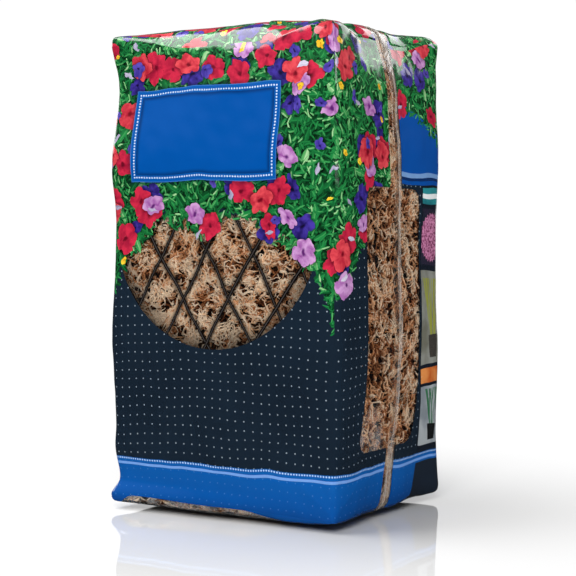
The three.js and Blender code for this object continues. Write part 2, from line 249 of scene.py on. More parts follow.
# Each face: which grids run across and up it, and the direction at (across, up).
FACES = {
    "front": ("x", "z", lambda a, b, one: (a, -one, b)),
    "right": ("y", "z", lambda a, b, one: (one, a, b)),
    "back": ("x", "z", lambda a, b, one: (-a, one, b)),
    "left": ("y", "z", lambda a, b, one: (-one, -a, b)),
    "top": ("x", "y", lambda a, b, one: (a, b, one)),
    "base": ("x", "y", lambda a, b, one: (a, -b, -one)),
}
# Distance round the bag of each wall's middle from the middle of the front.
WALL_MIDDLE = {"front": 0, "right": (WIDTH + DEPTH) / 2, "back": WIDTH + DEPTH, "left": -(WIDTH + DEPTH) / 2}


def crowded(count):
    s = np.linspace(-1, 1, count + 1)
    return lerp(s, np.sin(s * math.pi / 2), CROWDING)


def face_directions(side, coarser=1):
    """A grid of directions over a face, and its numbers of rows and columns."""
    across, up, aim = FACES[side]
    a, b = np.meshgrid(crowded(GRID[across] // coarser), crowded(GRID[up] // coarser))
    return np.stack(aim(a.ravel(), b.ravel(), np.ones(a.size)), axis=1), a.shape


def quads(rows, columns):
    """The faces of a grid of points that are listed row by row."""
    corner = (np.arange(rows - 1)[:, None] * columns + np.arange(columns - 1)).ravel()
    faces = np.stack([corner, corner + 1, corner + 1 + columns, corner + columns], axis=1)
    return [tuple(face) for face in faces.tolist()]


def face_grid(side):
    """(directions, film coordinates, quads) of a face. The film coordinates are millimetres round and up."""
    directions, (rows, columns) = face_directions(side)
    flat = block(directions).reshape(rows, columns, 3)
    u = np.pad(np.cumsum(np.linalg.norm(np.diff(flat, axis=1), axis=2), axis=1), ((0, 0), (1, 0)))
    v = np.pad(np.cumsum(np.linalg.norm(np.diff(flat, axis=0), axis=2), axis=0), ((1, 0), (0, 0)))
    u = u - u[:, -1:] / 2 + WALL_MIDDLE.get(side, 0)
    v = v + {"top": WALL_HIGH, "base": 0}.get(side, WALL_LOW)
    return directions, np.stack([u.ravel(), v.ravel()], axis=1), quads(rows, columns)


def edges(face):
    return [(min(a, b), max(a, b)) for a, b in zip(face, face[1:] + face[:1])]


HALVINGS = 18  # of the stretch that a cut's corner is searched in
ON_LINE = 1e-6  # how near a corner has to be to be on the line of a cut


def cut(directions, coordinates, faces, field):
    """Splits faces along the line where field(points) is 0. Returns the grown directions and coordinates and
    the faces where the field is below and above 0. A corner that is on the line counts as above."""
    above = field(block(directions)) > -ON_LINE
    is_above = above.tolist()
    crossings = {}
    for face in faces:
        for edge in edges(face):
            if is_above[edge[0]] != is_above[edge[1]]:
                crossings.setdefault(edge, len(directions) + len(crossings))
    ends = np.array(list(crossings), int).reshape(-1, 2)
    first, second = directions[ends.T]
    low, high = np.zeros(len(ends)), np.ones(len(ends))
    for _ in range(HALVINGS):
        middle = (low + high) / 2
        same = (field(block(lerp(first, second, middle[:, None]))) > 0) == above[ends[:, 0]]
        low, high = np.where(same, middle, low), np.where(same, high, middle)
    share = ((low + high) / 2)[:, None]
    directions = np.concatenate([directions, lerp(first, second, share)])
    coordinates = np.concatenate([coordinates, lerp(*coordinates[ends.T], share)])
    sides = {True: [], False: []}
    for face in faces:
        parts = {True: [], False: []}
        for corner, edge in zip(face, edges(face)):
            parts[is_above[corner]].append(corner)
            if edge in crossings:
                parts[True].append(crossings[edge])
                parts[False].append(crossings[edge])
        for side, corners in parts.items():
            if corners:
                sides[side].append(tuple(corners))
    return directions, coordinates, sides[False], sides[True]


# The fields that bound the clear film: below 0 inside.


def front_window(points):
    x, _, z = points.T
    oval = np.hypot((x - WINDOW_X) / WINDOW_HALF_WIDTH, (z - WINDOW_TOP) / WINDOW_DROP)
    return np.maximum((oval - 1) * WINDOW_DROP, z - WINDOW_TOP)


def side_window(points, lean=0):
    _, y, z = points.T
    y = y + lean * np.maximum(0, 1 - (z - SIDE_LOW) / SIDE_LEAN_HEIGHT) ** 2
    middle = np.array([(SIDE_FRONT + SIDE_BACK) / 2, (SIDE_LOW + SIDE_HIGH) / 2])
    half = np.array([(SIDE_BACK - SIDE_FRONT) / 2, (SIDE_HIGH - SIDE_LOW) / 2])
    away = np.abs(np.stack([y, z], axis=1) - middle) - (half - SIDE_CORNER)
    outside = np.linalg.norm(np.maximum(away, 0), axis=1)
    return outside + np.minimum(away.max(axis=1), 0) - SIDE_CORNER


def seam_strip(points):
    _, y, z = points.T
    away = y - along(SEAM_LINE, z)
    front = lerp(SEAM_FRONT_LOW, SEAM_FRONT_HIGH, smoothstep(60, 190, z))
    return np.maximum(away - SEAM_REAR, -away - front)


def right_window(points):
    return np.minimum(side_window(points, SIDE_LEAN), seam_strip(points))


def strip_to(end_x):
    """The seam's strip on the top or under the base, as far in as end_x."""
    return lambda points: np.maximum(seam_strip(points), end_x - points[:, 0])


def clear_base(points):
    return points[:, 2] - along(BASE_LINE, points[:, 0])


# ---- meshes ----


def make_object(name, points, faces, normals=None, uvs=None):
    """A mesh object that rides on the body. Points, in millimetres, that no face uses are left out."""
    used = np.unique(np.concatenate([np.asarray(face) for face in faces]))
    place = np.full(len(points), -1)
    place[used] = np.arange(len(used))
    mesh = bpy.data.meshes.new(name)
    mesh.from_pydata((points[used] * MM).tolist(), [], [tuple(place[list(face)].tolist()) for face in faces])
    mesh.polygons.foreach_set("use_smooth", [True] * len(mesh.polygons))
    corner = np.zeros(len(mesh.loops), int)
    mesh.loops.foreach_get("vertex_index", corner)
    if uvs is not None:
        layer = mesh.uv_layers.new(name="Film")
        layer.data.foreach_set("uv", (uvs[used][corner] * MM).astype(np.float32).ravel())
    if normals is not None:
        mesh.normals_split_custom_set_from_vertices(normals[used].tolist())
    made = placed(name, mesh)
    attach(made, "root")
    return made


def placed(name, data, place=(0, 0, 0), towards=None):
    """A new object of the scene at that place, with its lower side turned towards a direction."""
    made = bpy.data.objects.new(name, data)
    made.location = place
    if towards is not None:
        made.rotation_euler = towards.to_track_quat("-Z", "Y").to_euler()
    bpy.context.scene.collection.objects.link(made)
    return made


def joined(parts):
    """One sheet from (directions, coordinates, faces) parts. Corners in the same place are made one."""
    parts = [part for part in parts if part[2]]
    offsets = np.cumsum([0] + [len(part[0]) for part in parts])
    directions = np.concatenate([part[0] for part in parts])
    coordinates = np.concatenate([part[1] for part in parts])
    box = directions / np.abs(directions).max(axis=1, keepdims=True)
    _, first, same = np.unique(np.round(box, 7), axis=0, return_index=True, return_inverse=True)
    same = same.ravel().tolist()
    faces = []
    for (_, _, own), offset in zip(parts, offsets.tolist()):
        faces += [tuple(same[corner + offset] for corner in face) for face in own]
    faces = [face for face in faces if len(set(face)) == len(face)]
    return directions[first], coordinates[first], faces


# ---- shaders written as formulas ----


def linear(colour):
    """A colour given as #rrggbb, in the renderer's linear values."""
    values = [int(colour[i : i + 2], 16) / 255 for i in (1, 3, 5)]
    return [v / 12.92 if v <= 0.04045 else ((v + 0.055) / 1.055) ** 2.4 for v in values] + [1.0]


def add_node(tree, kind, inputs=(), output=0, **settings):
    """Adds a shader node and sets its inputs, by name or place, to wires, numbers or colours. Returns the
    wire of that output, or a list of wires where output is a tuple."""
    node = tree.nodes.new("ShaderNode" + kind)
    for key, value in settings.items():
        setattr(node, key, value)
    for key, value in dict(inputs).items():
        if isinstance(value, Wire):
            tree.links.new(value.socket, node.inputs[key])
        else:
            node.inputs[key].default_value = linear(value) if isinstance(value, str) else value
    if isinstance(output, tuple):
        return [Wire(tree, node.outputs[each]) for each in output]
    return Wire(tree, node.outputs[output])


def operator(operation):
    """A method of Wire that adds a math node."""

    def method(wire, *others):
        return wire.node("Math", enumerate((wire, *others)), operation=operation)

    return method


class Wire:
    """An output of a shader node. Arithmetic on it, and the methods below, add nodes."""

    def __init__(self, tree, socket):
        self.tree = tree
        self.socket = socket

    __add__ = __radd__ = operator("ADD")
    __mul__ = __rmul__ = operator("MULTIPLY")
    __sub__ = operator("SUBTRACT")
    __truediv__ = operator("DIVIDE")
    __pow__ = operator("POWER")
    __lt__ = operator("LESS_THAN")
    __gt__ = operator("GREATER_THAN")
    __abs__ = operator("ABSOLUTE")
    sin, cos, fract = operator("SINE"), operator("COSINE"), operator("FRACT")
    least, most = operator("MINIMUM"), operator("MAXIMUM")
    angle = operator("ARCTAN2")

    def __rsub__(self, other):
        return (self * -1.0) + other

    def node(self, kind, inputs=(), output=0, **settings):
        return add_node(self.tree, kind, inputs, output, **settings)

    def split(self):
        return self.node("SeparateXYZ", {0: self}, (0, 1, 2))

    def fade(self, low, high, start=0.0, end=1.0):
        """From start where this is low to end where it is high, with a smooth turn."""
        ends = enumerate((self, low, high, start, end))
        return self.node("MapRange", ends, interpolation_type="SMOOTHSTEP")

    def blend(self, below, above):
        """The colour below where this is 0, and the one above where it is 1."""
        return self.node("Mix", {0: self, 6: below, 7: above}, 2, data_type="RGBA")

    def layer(self, below, above):
        """The surface below where this is 0, and the one above where it is 1."""
        return self.node("MixShader", {0: self, 1: below, 2: above})

    def ramp(self, stops):
        """Colour at this value, between stops of (place, colour)."""
        node = self.tree.nodes.new("ShaderNodeValToRGB")
        while len(node.color_ramp.elements) < len(stops):
            node.color_ramp.elements.new(0.5)
        for element, (place, colour) in zip(node.color_ramp.elements, stops):
            element.position = place
            element.color = linear(colour)
        self.tree.links.new(self.socket, node.inputs[0])
        return Wire(self.tree, node.outputs[0])

    def noise(self, scale, detail):
        return self.node("TexNoise", {"Vector": self, "Scale": scale, "Detail": detail})

    def bump(self, distance, strength):
        return self.node("Bump", {"Height": self, "Distance": distance, "Strength": strength})


def vector(x, y, z=0.0):
    return x.node("CombineXYZ", {"X": x, "Y": y, "Z": z})


def between(value, low, high):
    return (value > low) * (value < high)


def make_material(name, surface, *details):
    """A material whose surface comes from surface(tree, *details)."""
    made = bpy.data.materials.new(name)
    made.use_nodes = True
    made.node_tree.nodes.clear()
    shaded = surface(made.node_tree, *details)
    shaded.node("OutputMaterial", {"Surface": shaded}, ())
    return made


# ---- the print: a scatter of plain garden flowers over plain panels ----

GREENS = [(0.0, "#052312"), (0.3, "#0c4a24"), (0.6, "#1f8040"), (0.82, "#4f9c58"), (1.0, "#a3cd97")]
UNDERGROWTH = [(0.35, "#030f08"), (0.55, "#0a3a1c"), (0.75, "#2a7a3c")]
# Leaves, from the deep ones to the near ones: length, width, cell, seed, share, lightening.
LEAVES = [
    (6.0, 1.3, 6.0, 1, 0.95, -0.02),
    (4.2, 0.8, 4.2, 2, 0.9, 0.12),
    (6.6, 2.3, 9.0, 3, 0.65, 0.16),
    (3.8, 0.6, 4.0, 4, 0.8, 0.24),
]
# Blossoms: radius, cell, seed, share, dark and light colour, eye.
BLOSSOMS = [
    (9.4, 23.0, 11, 0.45, "#170f4a", "#43349a", "#120c33"),
    (10.6, 24.0, 12, 0.5, "#8f1230", "#cc2a46", "#640a20"),
    (9.6, 35.0, 13, 0.45, "#863a8c", "#c99acb", "#571f66"),
    (10.2, 27.0, 14, 0.5, "#a0122c", "#dc4c54", "#6e0a1c"),
    (4.6, 24.0, 15, 0.45, "#2a1f78", "#5c4cb0", "#1b1240"),
    (2.9, 26.0, 16, 0.5, "#c98a10", "#f8d53c", "#a05c06"),
]
PETALS = 5
NOTCH = 0.26  # how deep the notches between the petals are
SLANT = 0.45  # how far the most slanted blossom is narrowed
LEAF_RUFFLE, PETAL_RUFFLE = 3.0, 7.0  # how far uneven growth moves them
SEED_SHIFT_U, SEED_SHIFT_V = 37.3, 61.7  # between the patterns of two seeds
BLUE = "#07448c"
BLUE_LIT = "#0a56a2"
LABEL_BLUE = "#014c9b"
DEEP_BLUE = "#0a2c60"
NAVY_PATCH = "#1b2430"


class Scatter:
    """Motifs scattered over the film, one to a cell, kept where keep(across, up) of the motif's middle is
    above 0. Gathered ones grow in drifts."""

    def __init__(self, u, v, size, seed, keep, share, gathered=False):
        shift_u, shift_v = seed * SEED_SHIFT_U, seed * SEED_SHIFT_V
        x, y = u + shift_u, v + shift_v
        cells = {"Vector": vector(x, y), "Scale": 1 / size, "Randomness": 0.9}
        chance, middle = x.node("TexVoronoi", cells, ("Color", "Position"), voronoi_dimensions="2D")
        middle_x, middle_y, _ = middle.split()
        self.first, self.second, self.third = chance.split()
        turn = self.first * (2 * math.pi)
        right, up = x - middle_x, y - middle_y
        self.a = right * turn.cos() + up * turn.sin()
        self.b = up * turn.cos() - right * turn.sin()
        place_x, place_y = middle_x - shift_u, middle_y - shift_v
        if gathered:
            crowd = vector(place_x, place_y, seed * 9.0).noise(0.028, 1.0)
            share = crowd.fade(0.36, 0.62) * share * 1.3 + share * 0.3
        self.kept = (keep(place_x, place_y) > 0.0) * (self.second < share)


def leaf(u, v, length, width, size, seed, keep, share):
    """(mask, tone) of pointed leaves, each lighter on one side of its rib."""
    spot = Scatter(u, v, size, seed, keep, share)
    t = spot.a / length
    half = (1 - t * t) * width
    share_out = abs(spot.b) / half.most(0.01)
    mask = (share_out < 1.0) * (abs(t) < 1.0) * spot.kept
    rib = abs(spot.b).fade(width * 0.16, width * 0.05)
    lit = spot.third * spot.third * 0.6
    return mask, lit + (spot.b > 0.0) * 0.12 + (1 - share_out) * 0.1 + rib * 0.14 + 0.04


def blossom(u, v, radius, size, seed, keep, share):
    """(mask, tone, distance from the middle as a share of the petals' reach, shadow) of open blossoms, some
    seen at a slant."""
    spot = Scatter(u, v, size, seed, keep, share, gathered=True)
    b = spot.b / (1 - spot.third * SLANT)
    far = (spot.a * spot.a + b * b) ** 0.5
    angle = b.angle(spot.a)
    wave = abs((angle * (PETALS / 2)).cos())
    near = far / ((wave**0.7 * NOTCH + (1 - NOTCH)) * radius * (spot.first * 0.3 + 0.75))
    veins = (angle * (PETALS * 8)).sin() * 0.05
    sheen = vector(u, v, seed * 5.0).noise(0.22, 2.0)
    tone = wave * 0.25 + near * 0.2 + veins + sheen.fade(0.3, 0.7) * 0.7 - 0.1
    return (near < 1.0) * spot.kept, tone, near, near.fade(1.4, 0.9) * spot.kept


def foliage(u, v, keep, rim=6.0):
    """(colour, mask) of the flowers and leaves. keep(across, up) is above 0 where a motif may have its
    middle, and above rim where the dark ground between leaves is printed."""
    colour = vector(u, v).noise(0.35, 4.0).ramp(UNDERGROWTH)
    mask = keep(u, v) > rim
    ruffle = vector(u, v, 40.0).noise(0.13, 2.0) - 0.5
    sway = vector(u, v, 90.0).noise(0.13, 2.0) - 0.5
    leaf_place = u + ruffle * LEAF_RUFFLE, v + sway * LEAF_RUFFLE
    petal_place = u + ruffle * PETAL_RUFFLE, v + sway * PETAL_RUFFLE
    for length, width, size, seed, share, lighter in LEAVES:
        on, tone = leaf(*leaf_place, length, width, size, seed, keep, share)
        colour = on.blend(colour, (tone + lighter).ramp(GREENS))
        mask = mask.most(on)
    for radius, size, seed, share, dark, light, eye in BLOSSOMS:
        on, tone, near, shadow = blossom(*petal_place, radius, size, seed, keep, share)
        colour = (shadow * 0.65).blend(colour, "#020806")
        petal = near.fade(0.3, 0.08).blend(tone.blend(dark, light), eye)
        colour = on.blend(colour, petal)
        mask = mask.most(on)
    on, tone = leaf(*petal_place, 3.8, 1.4, 21.0, 17, keep, 0.5)
    return on.blend(colour, tone.blend("#85809f", "#dcd6e6")), mask.most(on)


def overgrown(colour, u, v, keep, rim=6.0):
    """The colour with flowers and leaves over it."""
    flowers, mask = foliage(u, v, keep, rim)
    return mask.blend(colour, flowers)


def dots(u, v, pitch, radius):
    """Mask of round dots on a square grid."""
    a = ((u / pitch).fract() - 0.5) * pitch
    b = ((v / pitch).fract() - 0.5) * pitch
    return ((a * a + b * b) ** 0.5).fade(radius * 1.25, radius * 0.75)


def inset(u, v, box):
    """How far a place is inside a box given as (left, low, right, high)."""
    left, low, right, high = box
    return (u - left).least(right - u).least(v - low).least(high - v)


DOT_PITCH, DOT_RADIUS, BAND_DOT_RADIUS = 5.8, 0.46, 0.45
BAND_TOP, BEAD_PITCH, BEAD_RADIUS = 33, 1.9, 0.55
STRIPE_LOW, STRIPE_HIGH = -3.2, -1.5  # from the band's top


def lower_panels(u, v, z):
    """The dark dotted panel and the blue band below it, as on every wall."""
    ground = vector(u, v).noise(0.02, 2.0).blend("#101a25", "#182634")
    colour = (dots(u, v, DOT_PITCH, DOT_RADIUS) * 0.8).blend(ground, "#98a6b2")
    band = z.fade(0.0, BAND_TOP).blend(BLUE, BLUE_LIT)
    band = (dots(u, v, DOT_PITCH, BAND_DOT_RADIUS) * 0.22).blend(band, "#5fa0e0")
    edge = z - BAND_TOP
    beads = dots(u, edge, BEAD_PITCH, BEAD_RADIUS) * between(edge, 0.0, BEAD_PITCH)
    band = beads.blend(band, "#a9c6ea")
    band = between(edge, STRIPE_LOW, STRIPE_HIGH).blend(band, "#6f9bdb")
    return (edge < BEAD_PITCH).blend(colour, band)


LABEL = (-63.5, 210, 44.8, 268.9)
LABEL_DOT_PITCH, LABEL_DOT_RADIUS = 1.9, 0.55
LABEL_RIM, LABEL_BEVEL = 4.4, 3.1  # how wide the rim with its dots is, and the shade inside it


def label(colour, u, v):
    """A bare blue panel with a bevelled rim and a dotted border."""
    inside = inset(u, v, LABEL)
    colour = (inside.fade(-3.5, 0.5) * 0.6).blend(colour, "#031226")
    colour = (inside > 0.0).blend(colour, "#08529f")
    colour = (inside.fade(0.7, 0.2) * (inside > 0.0) * 0.5).blend(colour, "#4a80c4")
    ring = between(inside, LABEL_DOT_PITCH, 2 * LABEL_DOT_PITCH)
    dotted = dots(u - LABEL[0], v - LABEL[1], LABEL_DOT_PITCH, LABEL_DOT_RADIUS)
    colour = (dotted * ring).blend(colour, "#c6d9f0")
    inner = inside.fade(LABEL_RIM, LABEL_RIM + LABEL_BEVEL).blend("#04346f", LABEL_BLUE)
    return (inside > LABEL_RIM).blend(colour, inner)


def garland(u, v):
    """Above 0 where the hanging flowers may grow: down to the window's top, and lower at both sides of it."""
    side = abs(u) / (WIDTH / 2)
    hem = (u * 0.11).sin() * 5 + (u * 0.27 + 1.0).sin() * 3
    return v - (179 - side**4.0 * 36 - (u > 0.0) * side**3.0 * 26 + hem)


def front_design(u, v, x, y, z):
    return label(overgrown(lower_panels(u, v, z), u, v, garland), u, z)


# The column of pictures starts on the right wall and runs on round the back.
PICTURE_START, PICTURE_WIDTH = WALL_MIDDLE["right"] + 38.5, 58
PICTURE_LOW, PICTURE_HIGH = 36, 210
# Its panels: low, high, ground, other tone.
PICTURES = [
    (198, 208, "#2c8a90", "#1c5f6a"),
    (157, 195, "#1d2430", "#2b2438"),
    (92, 153, "#8a8c86", "#6a6a5e"),
    (80, 89.5, "#b4531f", "#d98a4a"),
    (39.5, 78, "#a2a8ac", "#7d858c"),
]
BLOOM_ACROSS, BLOOM_HEIGHT, BLOOM_RADIUS, BLOOM_FRINGE = 15.0, 176.0, 17.0, 1.5
# Tufts of leaves in pots: foot, top, spread, leaves, pot. POT_PLACES are shares of the column's width.
TUFTS = [(96, 148, 15, "#8f9440", "#3d3a36"), (42, 76, 12, "#35694a", "#141618")]
POT_PLACES = (0.32, 0.74)


def picture_column(colour, u, v, z):
    """A column of plain panels: a striped one, a round bloom, two with a tuft of leaves in a pot."""
    column = between(u, PICTURE_START, PICTURE_START + PICTURE_WIDTH)
    tall = between(z, PICTURE_LOW, PICTURE_HIGH)
    colour = (column * tall).blend(colour, "#141b26")
    cloud = vector(u, v, 3.0).noise(0.06, 3.0).fade(0.35, 0.65)
    for low, high, ground, other in PICTURES:
        colour = (column * between(z, low, high)).blend(colour, cloud.blend(ground, other))
    colour = (column * between(z, 201.5, 204.5)).blend(colour, "#e6ecec")
    across, up = u - (PICTURE_START + BLOOM_ACROSS), z - BLOOM_HEIGHT
    far = (across * across + up * up) ** 0.5
    rays = abs((up.angle(across) * 14).sin()) * BLOOM_FRINGE
    florets = vector(u, v, 7.0).noise(0.6, 2.0).fade(0.35, 0.65)
    colour = (column * (far + rays < BLOOM_RADIUS)).blend(colour, florets.blend("#6b2a4e", "#cf86ae"))
    for foot, top, wide, green, pot in TUFTS:
        for place in POT_PLACES:
            across = u - (PICTURE_START + PICTURE_WIDTH * place)
            height = (z - foot) / (top - foot)
            blades = vector(across / (height + 0.25), height * 2.0, foot).noise(0.55, 3.0)
            leafy = (abs(across) < height * wide) * between(height, 0.28, 1.0) * (blades > 0.48)
            colour = (column * leafy).blend(colour, green)
            vessel = (abs(across) < height * 6.0 + 5.0) * between(height, 0.0, 0.3)
            colour = (column * vessel).blend(colour, pot)
    edge = abs(u - (PICTURE_START + PICTURE_WIDTH / 2)) - PICTURE_WIDTH / 2
    return ((abs(edge) < 0.4) * tall).blend(colour, "#0c1118")


# Bands over the side window, behind the seam: low, high, colour.
SIDE_BANDS = [(209.5, 262.0, "#084a9a"), (212.0, 214.0, DEEP_BLUE), (214.0, 217.0, "#7196c8")]


def right_design(u, v, x, y, z):
    colour = picture_column(lower_panels(u, v, z), u, v, z)
    for low, high, tone in SIDE_BANDS:
        colour = ((y > 2.0) * between(z, low, high)).blend(colour, tone)
    colour = ((y - z * 0.3 > 27.0) * (z < BAND_TOP - 4.5)).blend(colour, NAVY_PATCH)

    def keep(a, b):
        middle = WALL_MIDDLE["right"]
        ahead = (a < middle) * (b - 152.0 - (a - 100.0).most(-20.0) * 1.1)
        return ahead + (a > middle) * (b - 254.0 + (a - middle - 15.0) * 0.35)

    return overgrown(colour, u, v, keep, 5.0)


def top_design(u, v, x, y, z):
    return foliage(u, v, lambda a, b: b + 1000.0)[0]


def base_design(u, v, x, y, z):
    colour = vector(u, v).noise(0.05, 2.0).blend(BLUE, BLUE_LIT)
    return ((y > 27.0) * (x > 60.0)).blend(colour, NAVY_PATCH)


BARE_PANEL = (-48, 62, 66, 196)  # on the back, where a bag's directions go: left, low, right, high


def back_design(u, v, x, y, z):
    inside = inset(x * -1.0, z, BARE_PANEL)
    colour = inside.fade(-1.0, 0.0).blend(lower_panels(u, v, z), DEEP_BLUE)
    paper = vector(u, v).noise(0.03, 3.0).blend("#b4c0cb", "#ccd4da")
    paper = between(inside, 4.6, 5.3).blend(paper, "#3d63a0")
    colour = ((inside > 1.2) * (y > 0.0)).blend(colour, paper)
    colour = picture_column(colour, u, v, z)
    return overgrown(colour, u, v, lambda a, b: b - 222.0 + (a * 0.05).sin() * 6)


def left_design(u, v, x, y, z):
    def keep(a, b):
        return b - 200.0 + (a + 224.0) * 0.25 + (a * 0.07).sin() * 6

    return overgrown(lower_panels(u, v, z), u, v, keep)


TRELLIS_PITCH, TRELLIS_WIDTH = 34, 1.05
TRELLIS_SLOPE, TRELLIS_CURVE = 0.6, 9.0


def window_print(u, v, x, y, z):
    """(colour, mask) of the flowers that hang over the front window's straight edge, a plain curved trellis
    below them, and a soft dark rim."""
    across, down = (x - WINDOW_X) / WINDOW_HALF_WIDTH, (z - WINDOW_TOP) / WINDOW_DROP
    mask = ((across * across + down * down) ** 0.5).fade(0.82, 1.02) * 0.5
    colour = "#120c07"
    drop = (z - WINDOW_TOP) * TRELLIS_SLOPE + across * across * TRELLIS_CURVE
    for lean, shift in ((drop, 3.0), (drop * -1.0, 11.0)):
        line = abs((((x + lean + shift) / TRELLIS_PITCH).fract() - 0.5) * TRELLIS_PITCH) * 0.85
        shade = line.fade(TRELLIS_WIDTH * 3.4, TRELLIS_WIDTH * 0.8) * 0.4
        wire = line.fade(TRELLIS_WIDTH * 1.15, TRELLIS_WIDTH * 0.85)
        steel = line.fade(TRELLIS_WIDTH * 0.4, 0.0).blend("#090605", "#454140")
        colour = wire.blend(colour, steel)
        mask = mask.most(shade).most(wire)
    flowers, grown = foliage(u, v, garland)
    return grown.blend(colour, flowers), mask.most(grown)


# ---- the materials' surfaces ----

PRINT_TUG = 5.0  # how far the tight film tugs the print out of place
FILM_IOR, INK_IOR = 1.45, 1.5


def film_places(tree):
    """Round and up on the unrolled film, then x, y and z, in millimetres, and the plain place for noise."""
    u, v, _ = add_node(tree, "UVMap", uv_map="Film").split()
    place = add_node(tree, "TexCoord", output="Object")
    x, y, z = place.split()
    tug = (place.noise(24.0, 1.0) - 0.5) * PRINT_TUG
    pull = (place.noise(31.0, 1.0) - 0.5) * PRINT_TUG
    return [u / MM + tug, v / MM + pull, x / MM + tug, y / MM + tug, z / MM + pull], place


def crinkle(place):
    """The film's fine crinkle, as a bump."""
    return place.noise(60.0, 3.0).bump(0.0006, 0.35)


def ink(colour, roughness, bump):
    inputs = {"Base Color": colour, "Roughness": roughness, "IOR": INK_IOR, "Normal": bump}
    return colour.node("BsdfPrincipled", inputs)


def printed_film(tree, design):
    """Glossy printed film whose colours come from design(u, v, x, y, z)."""
    places, place = film_places(tree)
    return ink(design(*places), 0.12, crinkle(place))


def thin_film(see, milk, haze, roughness, bump):
    """See-through film with that share of milk in it, under the gloss of its surface."""
    see = haze.node("BsdfTransparent", {"Color": see})
    milk = haze.node("BsdfDiffuse", {"Color": milk, "Normal": bump})
    gloss = haze.node("BsdfGlossy", {"Color": (1, 1, 1, 1), "Roughness": roughness, "Normal": bump})
    fresnel = haze.node("Fresnel", {"IOR": FILM_IOR, "Normal": bump})
    return fresnel.layer(haze.layer(see, milk), gloss)


def clear_film(tree, design=None):
    """Thin clear film with a faint haze, milkier low down in front of the seam. design(u, v, x, y, z) gives
    the colour and the mask of what is printed on it."""
    places, place = film_places(tree)
    y, z = places[3:]
    bump = crinkle(place)
    haze = place.noise(90.0, 4.0)
    patch = place.noise(26.0, 3.0)
    creased = z.fade(82.0, 48.0) * (y + z * 0.25).fade(4.0, -10.0) * haze.fade(0.35, 0.65)
    milky = haze.fade(0.5, 0.8) * 0.008 + patch.fade(0.6, 0.78) * 0.02 + creased * 0.2 + 0.001
    surface = thin_film((0.98, 0.98, 0.98, 1), (0.85, 0.86, 0.87, 1), milky, 0.1, bump)
    if design is None:
        return surface
    colour, mask = design(*places)
    return mask.layer(surface, ink(colour, 0.16, bump))


def sealed_film(tree):
    """The doubled film of the seam: clear, with a streaked white core where it is sealed. Its map gives the
    place across the band, -1 to 1, and along it."""
    across, run, _ = add_node(tree, "UVMap", uv_map="Film").split()
    across, run = across / MM, run / MM
    bump = crinkle(add_node(tree, "TexCoord", output="Object"))
    specks = vector(across * 2.6, run * 0.42).noise(1.0, 3.0).fade(0.35, 0.7)
    streaks = vector(across * 2.2, run * 0.03).noise(1.0, 2.0).fade(0.4, 0.65)
    low = run.fade(58.0, 42.0)
    open_edge = across.fade(-0.25, 0.05).most(low * across.fade(-1.0, -0.8))
    core = open_edge * across.fade(0.9, 0.6)
    high = run.fade(262.0, 300.0) * 0.22
    haze = core * (specks * 0.16 + streaks * 0.28 + 0.12) + high + 0.03
    return thin_film((0.97, 0.96, 0.95, 1), (0.7, 0.64, 0.58, 1), haze, 0.15, bump)


MOSS_TONES = [
    (0.0, "#0e0502"),
    (0.24, "#36180a"),
    (0.46, "#884f2d"),
    (0.62, "#d69462"),
    (0.75, "#fccb9d"),
    (0.87, "#ffe9ce"),
]


def dried_stems(tree):
    """Cream to brown by each strand's tone, which holds its own colour together with painted shade where it
    lies deep and painted light by the side it is on, with fine fibre.
    """
    tone = add_node(tree, "Attribute", output="Fac", attribute_name="tone")
    place = add_node(tree, "TexCoord", output="Object")
    speck = place.noise(900.0, 3.0)
    value = tone + (speck - 0.5) * 0.35 + (place.noise(28.0, 2.0) - 0.5) * 0.25
    inputs = {"Roughness": 0.9, "Specular IOR Level": 0.05, "Normal": speck.bump(0.0004, 0.6)}
    return tone.node("BsdfPrincipled", {"Base Color": value.ramp(MOSS_TONES), **inputs})


# ---- building the film ----

# Each face's clear parts, in the order in which they are cut out of the print.
CLEAR_PARTS = {
    "front": {"film_window_front": front_window, "film_base": clear_base},
    "right": {"film_base": clear_base, "film_window_right": right_window},
    "back": {"film_base": clear_base},
    "left": {"film_window_left": side_window, "film_base": clear_base},
    "top": {"film_window_right": strip_to(SEAM_END_X)},
    "base": {"film_base": clear_base, "film_window_right": strip_to(SEAM_UNDER_X)},
}


def build_film():
    """Cuts each face of the bag into print and clear film. Returns the pieces by name."""
    parts = {}
    for side, fields in CLEAR_PARTS.items():
        directions, coordinates, faces = face_grid(side)
        for name, field in fields.items():
            directions, coordinates, inside, faces = cut(directions, coordinates, faces, field)
            parts.setdefault(name, []).append((directions, coordinates, inside))
        parts.setdefault("film_print_" + side, []).append((directions, coordinates, faces))
    return {name: film_piece(name, own) for name, own in parts.items()}


def film_piece(name, parts):
    directions, coordinates, faces = joined(parts)
    return make_object(name, film(directions), faces, outward(film, directions, FILM_STEP), coordinates)


# ---- film laid over film: the lapped seam and the folded top ----

LAP_HALF_WIDTH = 4.9
LAP_EDGE, LAP_RISE, LAP_REST = 0.9, 0.55, 0.15  # how high the free edge, the middle and the sealed edge stand
LAP_ROWS_UNDER, LAP_ROWS, LAP_ROWS_TOP, LAP_COLUMNS = 12, 230, 34, 15
TUCK = 6  # how far the lap goes on under the folds of the top
FILM_GAP = 0.05  # the least height of film over film


def grid_object(name, directions, lift, coordinates):
    """A sheet of film over a grid of directions, standing lift above the film below it."""
    rows, columns, _ = directions.shape
    points = film(directions.reshape(-1, 3), -lift.ravel())
    return make_object(name, points, quads(rows, columns), None, coordinates.reshape(-1, 2))


